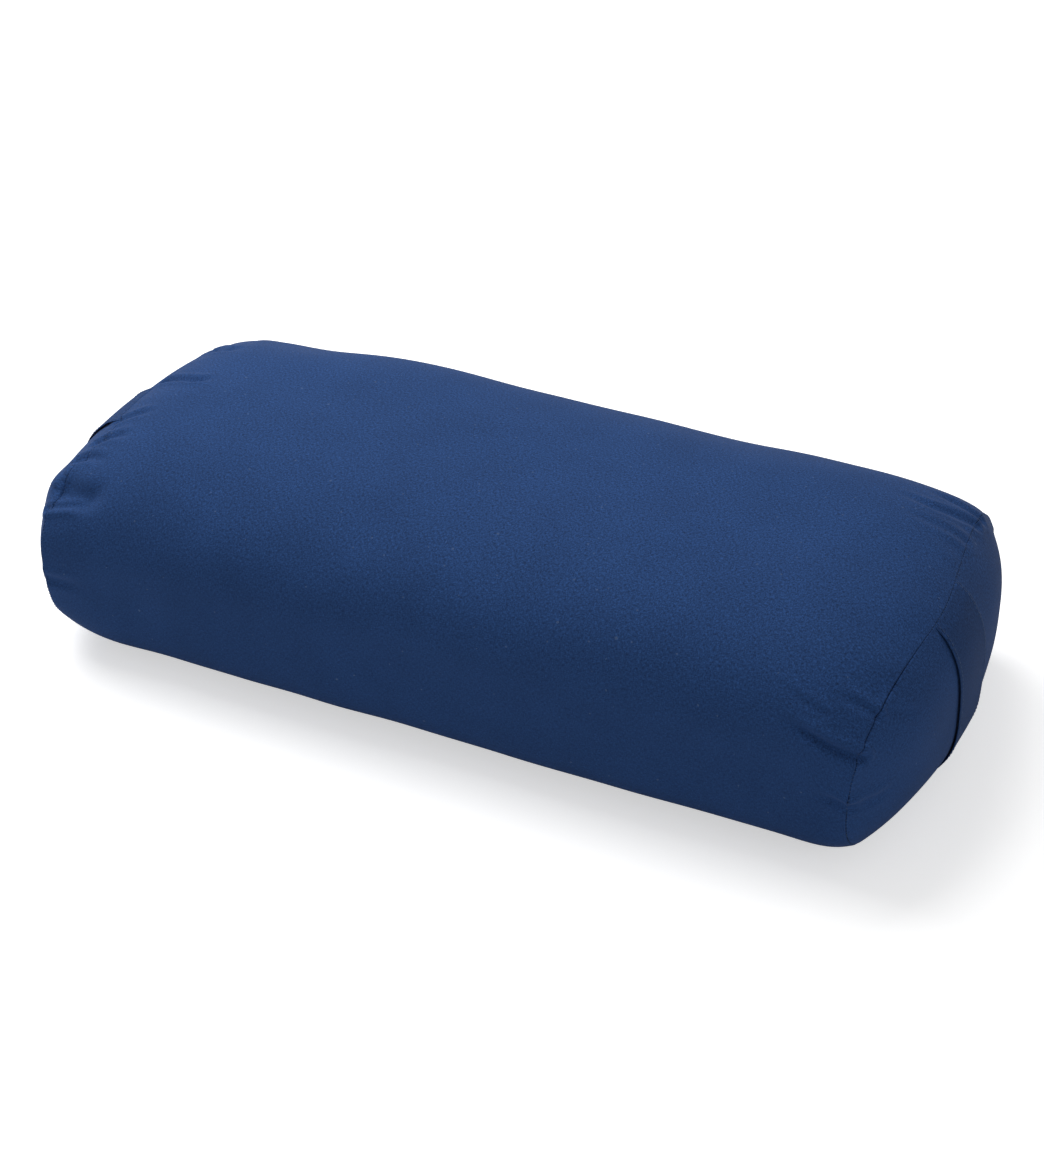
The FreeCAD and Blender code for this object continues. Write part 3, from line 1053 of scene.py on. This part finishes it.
def strap_lane(panel, side, y):
    """The strap's inner face at one y: x and z points from inside the top seam to inside the bottom one."""
    seam = COVER[END_SEAMS[side]]
    heights = seam[np.abs(seam[:, 1] - y) < SEAM_PICK, 2]
    top = heights.max() - SEAM_INSET
    base = heights.min() + SEAM_INSET
    share = np.linspace(0, 1, 2 * STRAP_ROWS - 1)
    levels = top + (base - top) * (1 - np.cos(share * math.pi)) / 2
    x = []
    for z in levels:
        lean = strap_sway((top - z) / (top - base))
        hit = panel.ray_cast(Vector((side * RAY_START, y + lean, z)), Vector((-side, 0, 0)))[1]
        x.append(side * hit.x)
    x = np.array(x)
    for _ in range(TAUT_ROUNDS):
        x[1:-1] = np.maximum(x[1:-1], (x[:-2] + x[2:]) / 2)
    line = np.stack([x, levels], 1)
    risen = smooth_step(top - levels, 0, STRAP_RISE) * smooth_step(levels - base, 0, STRAP_BASE_RISE)
    clear = mix(-STRAP_SINK, STRAP_CLEAR, risen) + STRAP_STAND * np.sin(share * math.pi)
    line += away_from(line) * clear[:, None]
    first = line[0] + (-STRAP_TUCK, STRAP_TUCK_UP)
    last = line[-1] + (-STRAP_TUCK, -STRAP_TUCK_DOWN)
    return np.vstack([first, line, last])


def strap_section():
    """Outline of the band: across the width and out from its inner face, with soft edges."""
    outline = []
    half = STRAP_COLUMNS // 2
    for index in range(half + 1):
        share = -1 + 2 * index / half
        across = math.copysign(1 - (1 - abs(share)) ** EDGE_CROWDING, share)
        edge = math.sqrt(max(0, 1 - abs(across) ** EDGE_SQUARENESS))
        outline.append((across, 0.5 + 0.5 * edge))
    lower = [(across, 1 - out) for across, out in outline[1:-1][::-1]]
    return np.array(outline + lower)


def strap_face(lanes, across):
    """The strap's inner face at a place across its width, between the lanes on either side of it."""
    place = (across + 1) / 2 * (len(lanes) - 1)
    lower = min(int(place), len(lanes) - 2)
    return lanes[lower] + (lanes[lower + 1] - lanes[lower]) * (place - lower)


def strap_grid(lanes, side, outline):
    """The band's rows from the top seam to the bottom one."""
    columns = []
    for across, out in outline:
        line = strap_face(lanes, across)
        raised = line + away_from(line) * (out * STRAP_THICK + HEM_LIFT * abs(across) ** HEM_POWER)
        drop = (line[0, 1] - line[:, 1]) / (line[0, 1] - line[-1, 1])
        y = STRAP_Y + across * STRAP_HALF + strap_sway(drop)
        columns.append(np.stack([side * raised[:, 0], y, raised[:, 1]], 1))
    return np.stack(columns, 1)


def make_strap(side):
    """One carry strap, as an upper and a lower band that meet in its middle."""
    name = SIDE_NAMES[side]
    panel = bpy.data.objects[f"cover_end_panel_{name}_cloth"]
    across = np.linspace(-1, 1, STRAP_LANES)
    lanes = [strap_lane(panel, side, STRAP_Y + share * STRAP_HALF) for share in across]
    grid = strap_grid(lanes, side, strap_section())
    middle = len(grid) // 2
    for part, rows, sewn in (("upper", grid[:middle + 1], 3), ("lower", grid[middle:], -4)):
        points = rows.reshape(-1, 3)
        faces = grid_faces(len(rows), rows.shape[1])
        piece = mesh_object(f"carry_strap_{name}_{part}_band", points, faces, STRAP_TWILL)
        face_outwards(piece)
        lay_out(piece, points[:, [2, 1]])
        subdivide(piece)
        add_edge_stitches(piece, lanes, side, part == "upper")
        nodes = [f"carry_strap_{name}_{part}_leg"]
        if part == "upper":
            nodes.append(f"carry_strap_{name}_grip")
        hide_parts(*nodes)
        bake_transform(piece)


def add_edge_stitches(piece, lanes, side, is_upper):
    """Sews a row of stitches along each long edge of the band, in the same mesh."""
    points, faces = [], []
    share = 1 - EDGE_STITCH_INSET / STRAP_HALF
    for edge in (-share, share):
        row = strap_grid(lanes, side, [(edge, 1)])[:, 0]
        inner = strap_grid(lanes, side, [(edge, 0)])[:, 0]
        facing = unit(row - inner)
        middle = len(row) // 2
        span = slice(2, middle + 1) if is_upper else slice(middle, -2)
        places, headings, normals = along_line(row[span], facing[span], EDGE_STITCH_PITCH)
        new_points, new_faces = stitches(places, headings, normals, EDGE_STITCH_LENGTH, THREAD)
        start = len(points)
        points += list(new_points)
        faces += [tuple(start + corner for corner in face) for face in new_faces]
    sewing = mesh_object("sewing", points, faces, SEAM_THREAD)
    face_outwards(sewing)
    join_into(piece, sewing)


def join_into(piece, other):
    """Moves another object's mesh into a piece, keeping its material."""
    with editing(piece) as edit:
        known = len(edit.faces)
        edit.from_mesh(other.data)
        edit.faces.ensure_lookup_table()
        for face in edit.faces[known:]:
            face.material_index = len(piece.data.materials)
    piece.data.materials.append(other.data.materials[0])
    bpy.data.objects.remove(other)


# Zip

COIL_PITCH = 1.25 * MM
COIL_WIRE = 0.55 * MM
COIL_TURN_POINTS = 10
COIL_SIDES = 5
# How far the coils' heads reach out, how far their middles lie back, and how flat the turns are
COIL_REACH = 0.25 * MM
COIL_BACK = 0.3 * MM
COIL_FLATNESS = 0.8
# Never along a coil, so that it can steady the tube's cross-section
TUBE_UP = np.array([0.02, 1, 0.01])


def coil_path(low, high, up):
    """A nylon coil lying on its tape: a flattened helix whose heads reach to the middle of the zip."""
    turns = int((high.x - low.x) / COIL_PITCH)
    count = turns * COIL_TURN_POINTS
    angle = np.arange(count) * 2 * math.pi / COIL_TURN_POINTS
    x = low.x + np.arange(count) * COIL_PITCH / COIL_TURN_POINTS
    wide = (high.z - low.z - COIL_WIRE) / 2 + COIL_REACH
    tall = (high.y - low.y - COIL_WIRE) / 2
    middle = (high.z + low.z) / 2 - up * COIL_BACK
    z = middle - up * wide * np.sign(np.cos(angle)) * np.abs(np.cos(angle)) ** COIL_FLATNESS
    y = (low.y + high.y) / 2 + tall * np.sin(angle)
    return np.stack([x, y, z], 1)


def tube(path, radius, sides):
    """Points and faces of a tube along a path."""
    heading = unit(np.gradient(path, axis=0))
    aside = unit(np.cross(heading, TUBE_UP))
    over = np.cross(aside, heading)
    turns = np.linspace(0, 2 * math.pi, sides, endpoint=False)
    rings = [path + radius * (aside * math.cos(turn) + over * math.sin(turn)) for turn in turns]
    return np.stack(rings, 1).reshape(-1, 3), closed_faces(len(path), sides)


def make_zip_coils():
    """Both coils, the lower one half a turn behind so that they mesh."""
    for node, up in (("zip_coil_upper", 1), ("zip_coil_lower", -1)):
        low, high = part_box(node)
        path = coil_path(low, high, up)
        if up < 0:
            path[:, 0] += COIL_PITCH / 2
            path = path[path[:, 0] < high.x]
        points, faces = tube(path, COIL_WIRE / 2, COIL_SIDES)
        piece = mesh_object(node + "_turns", points, faces, ZIP_NYLON)
        face_outwards(piece)
        declare(piece, [node])


TAPE_PARTS = ("zip_tape_upper", "zip_tape_lower")
METAL_PARTS = ("zip_bottom_stop", "zip_top_stops", "zip_slider_body", "zip_pull_tab")
ZIP_STITCH_PITCH = 3.2 * MM
ZIP_STITCH_LENGTH = 2.4 * MM
ZIP_STITCH_OFFSET = 3.0 * MM


def zip_stitch_run(wrap, start, end):
    """Stitches on the wrap panel from one x and z to another: place, heading and normal of each."""
    count = int(np.linalg.norm(end - start) / ZIP_STITCH_PITCH)
    heading = unit(np.array([end[0] - start[0], 0, end[1] - start[1]]))
    found = []
    for number in range(count):
        x, z = start + (end - start) * (number + 0.5) / count
        hit, place, normal, _ = wrap.ray_cast(Vector((x, 0.2, z)), Vector((0, -1, 0)))
        if hit:
            found.append((np.array(place), heading, np.array(normal if normal.y > 0 else -normal)))
    return found


def make_zip_stitches():
    """Topstitching above and below the zip, and across its two ends."""
    wrap = bpy.data.objects["cover_wrap_panel_cloth"]
    away = SLOT_HALF + ZIP_STITCH_OFFSET
    far = ZIP_END + ZIP_STITCH_OFFSET
    signs = np.array([(-1, 1), (1, 1), (1, -1), (-1, -1)])
    corners = signs * (far, away) + (0, ZIP_MIDDLE)
    runs = [zip_stitch_run(wrap, *ends) for ends in zip(corners, np.roll(corners, -1, 0))]
    points, faces = stitches(*zip(*sum(runs, [])), ZIP_STITCH_LENGTH, THREAD)
    piece = mesh_object("zip_topstitching", points, faces, SEAM_THREAD)
    face_outwards(piece)
    declare(piece)


def finish_zip_parts():
    """Gives the zip's CAD parts their materials."""
    for node in TAPE_PARTS + METAL_PARTS:
        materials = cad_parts[node].data.materials
        materials.clear()
        materials.append(ZIP_TAPE if node in TAPE_PARTS else ZIP_METAL)


# Liner and fill, inside the cover

LINER_INSET = 5.5 * MM
FILL_INSET = 7.5 * MM
# What share of an inset also moves the end seams inwards
SEAM_INSET_SHARE = 0.4


def inset_grid(amount):
    """The cover's shape, moved inwards."""
    grid = COVER - COVER_NORMALS * amount
    for side, seam in END_SEAMS.items():
        grid[seam, :, 0] -= side * amount * SEAM_INSET_SHARE
    return grid


def make_liner():
    grid = inset_grid(LINER_INSET)
    for node, (first, last) in PANELS.items():
        name = node.replace("cover", "liner")
        is_end = name != "liner_wrap_panel"
        piece = panel_mesh(name + "_cloth", grid[first:last + 1], LINER_MUSLIN, is_end)
        if is_end:
            close_middle(piece)
        declare(piece, [name])


def make_batting():
    """The fill's layers, each cut from the same body."""
    grid = inset_grid(FILL_INSET)
    faces = closed_faces(*grid.shape[:2])
    layers = sorted(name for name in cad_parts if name.startswith("fill_batting_layer"))
    for node in layers:
        low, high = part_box(node)
        piece = mesh_object(node + "_batting", grid.reshape(-1, 3), faces, COTTON_BATTING)
        face_outwards(piece)
        if node != layers[0]:
            slice_off(piece, low.z, -1)
        if node != layers[-1]:
            slice_off(piece, high.z, 1)
        face_outwards(piece)
        declare(piece, [node])


def slice_off(piece, height, direction):
    """Cuts away what lies past a height, and closes the cut."""
    with editing(piece) as edit:
        geometry = list(edit.verts) + list(edit.edges) + list(edit.faces)
        cut = bmesh.ops.bisect_plane(
            edit, geom=geometry, plane_co=(0, 0, height), plane_no=(0, 0, direction), clear_outer=True)
        rim = [part for part in cut["geom_cut"] if isinstance(part, bmesh.types.BMEdge)]
        for face in bmesh.ops.contextual_create(edit, geom=rim)["faces"]:
            face.smooth = False


# Camera and lights

LENS = 63.63
SENSOR_WIDTH = 36
CAMERA_AZIMUTH = 25.55
CAMERA_ELEVATION = 33.64
CAMERA_ROLL = -0.16
CAMERA_DISTANCE = 1.4136
AIM = (7.55 * MM, -11.78 * MM, 55.84 * MM)
WORLD_STRENGTH = 0.28
BACKDROP_STRENGTH = 0.85
# Lamps: place, target, size, power and how widely they shine
LAMPS = {
    "key": ((-1.05, 0.55, 1.8), (0, 0, 0.05), (1.7, 1.7), 42, 180),
    "side_fill": ((1.9, -0.5, 0.9), (0.2, 0, 0.08), (0.9, 0.9), 3.2, 180),
    "floor_wash": ((0.3, -1.0, 1.3), (0.3, -0.9, 0), (1.6, 0.4), 1.6, 40),
}
FLOOR_SIZE = 8


def make_camera():
    data = bpy.data.cameras.new("camera")
    data.lens = LENS
    data.sensor_width = SENSOR_WIDTH
    camera = new_object("camera", data)
    turn, lift = math.radians(CAMERA_AZIMUTH), math.radians(CAMERA_ELEVATION)
    back = Vector((math.sin(turn) * math.cos(lift), -math.cos(turn) * math.cos(lift), math.sin(lift)))
    camera.location = Vector(AIM) + back * CAMERA_DISTANCE
    roll = Matrix.Rotation(math.radians(CAMERA_ROLL), 4, "Z")
    aim = (-back).to_track_quat("-Z", "Y").to_matrix().to_4x4() @ roll
    camera.rotation_euler = aim.to_euler()
    bpy.context.scene.camera = camera


def make_lamp(name, place, target, size, power, spread):
    data = bpy.data.lights.new(name, "AREA")
    data.shape = "RECTANGLE"
    data.size, data.size_y = size
    data.energy = power
    data.spread = math.radians(spread)
    lamp = new_object(name, data)
    lamp.location = place
    aim = Vector(target) - Vector(place)
    lamp.rotation_euler = aim.to_track_quat("-Z", "Y").to_euler()


def make_backdrop():
    """A weak even light all round, which looks brighter than it lights."""
    world = bpy.data.worlds.new("studio")
    bpy.context.scene.world = world
    world.use_nodes = True
    tree = world.node_tree
    background = tree.nodes["Background"]
    background.inputs["Color"].default_value = (1, 1, 1, 1)
    seen = tree.nodes.new("ShaderNodeLightPath").outputs["Is Camera Ray"]
    strength = tree.nodes.new("ShaderNodeMapRange")
    strength.inputs["To Min"].default_value = WORLD_STRENGTH
    strength.inputs["To Max"].default_value = BACKDROP_STRENGTH
    tree.links.new(seen, strength.inputs["Value"])
    tree.links.new(strength.outputs[0], background.inputs["Strength"])


def make_studio():
    corners = [(-FLOOR_SIZE, -FLOOR_SIZE, 0), (FLOOR_SIZE, -FLOOR_SIZE, 0)]
    corners += [(FLOOR_SIZE, FLOOR_SIZE, 0), (-FLOOR_SIZE, FLOOR_SIZE, 0)]
    mesh_object("floor", corners, [(0, 1, 2, 3)], floor_finish())
    make_backdrop()
    for name, lamp in LAMPS.items():
        make_lamp(name, *lamp)


def main():
    make_camera()
    make_studio()
    make_cover()
    make_seam_stitches()
    for side in (-1, 1):
        make_strap(side)
    make_zip_coils()
    make_zip_stitches()
    finish_zip_parts()
    make_liner()
    make_batting()
    bpy.context.scene.view_settings.view_transform = "Standard"


main()
